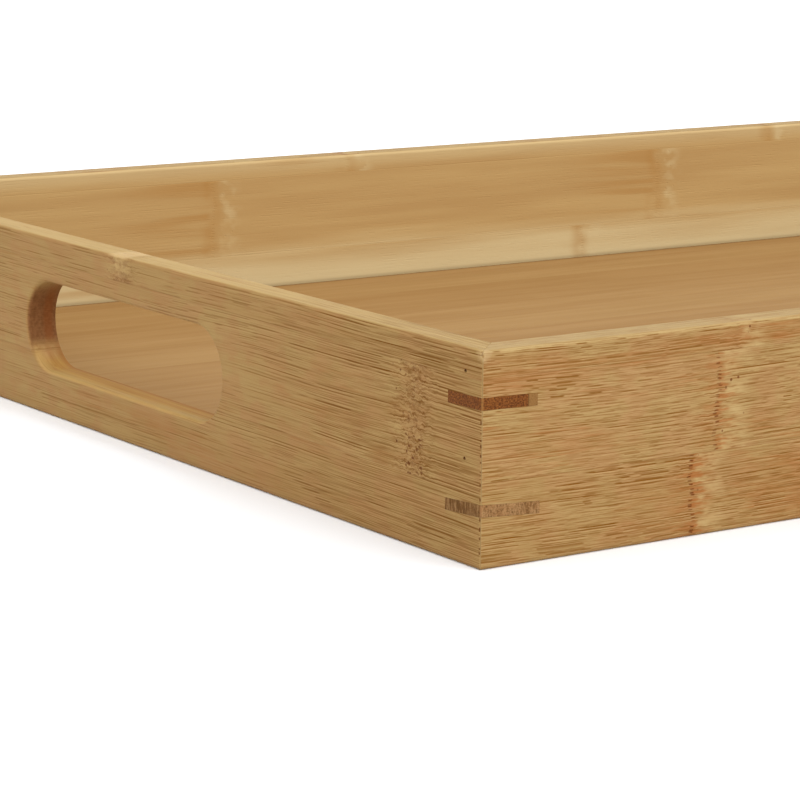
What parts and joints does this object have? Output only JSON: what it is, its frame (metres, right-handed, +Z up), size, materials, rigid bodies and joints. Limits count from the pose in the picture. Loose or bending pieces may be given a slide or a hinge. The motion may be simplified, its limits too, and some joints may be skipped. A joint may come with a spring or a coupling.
{
  "type": "serving tray",
  "caption": "Rectangular bamboo serving tray with mitred, keyed corners, a floor set in grooves, and an oblong finger slot in each end wall.",
  "frame": {"origin": "middle of the footprint, on the plane the tray stands on", "axes": "+X along the length, +Y along the width, +Z up; the end walls with the finger slots are at -X and +X"},
  "size_m": [0.5, 0.34, 0.05],
  "materials": {
    "wall_long": "satin lacquered bamboo, strips on edge",
    "wall_end": "satin lacquered bamboo, strips on edge",
    "floor": "satin lacquered bamboo board",
    "key_dark": "dark carbonised bamboo, flush sanded",
    "key_pale": "mid-brown bamboo, flush sanded",
    "brad": "bare steel, darkened head"
  },
  "bodies": {
    "root": {"front_wall": "wall_long", "back_wall": "wall_long", "left_end_wall": "wall_end", "right_end_wall": "wall_end", "floor_panel": "floor", "corner_key_front_left_upper": "key_dark", "corner_key_front_left_lower": "key_pale", "corner_key_front_right_upper": "key_dark", "corner_key_front_right_lower": "key_pale", "corner_key_back_left_upper": "key_dark", "corner_key_back_left_lower": "key_pale", "corner_key_back_right_upper": "key_dark", "corner_key_back_right_lower": "key_pale", "corner_brad_front_left_upper": "brad", "corner_brad_front_left_lower": "brad", "corner_brad_front_right_upper": "brad", "corner_brad_front_right_lower": "brad", "corner_brad_back_left_upper": "brad", "corner_brad_back_left_lower": "brad", "corner_brad_back_right_upper": "brad", "corner_brad_back_right_lower": "brad"}
  },
  "joints": []
}
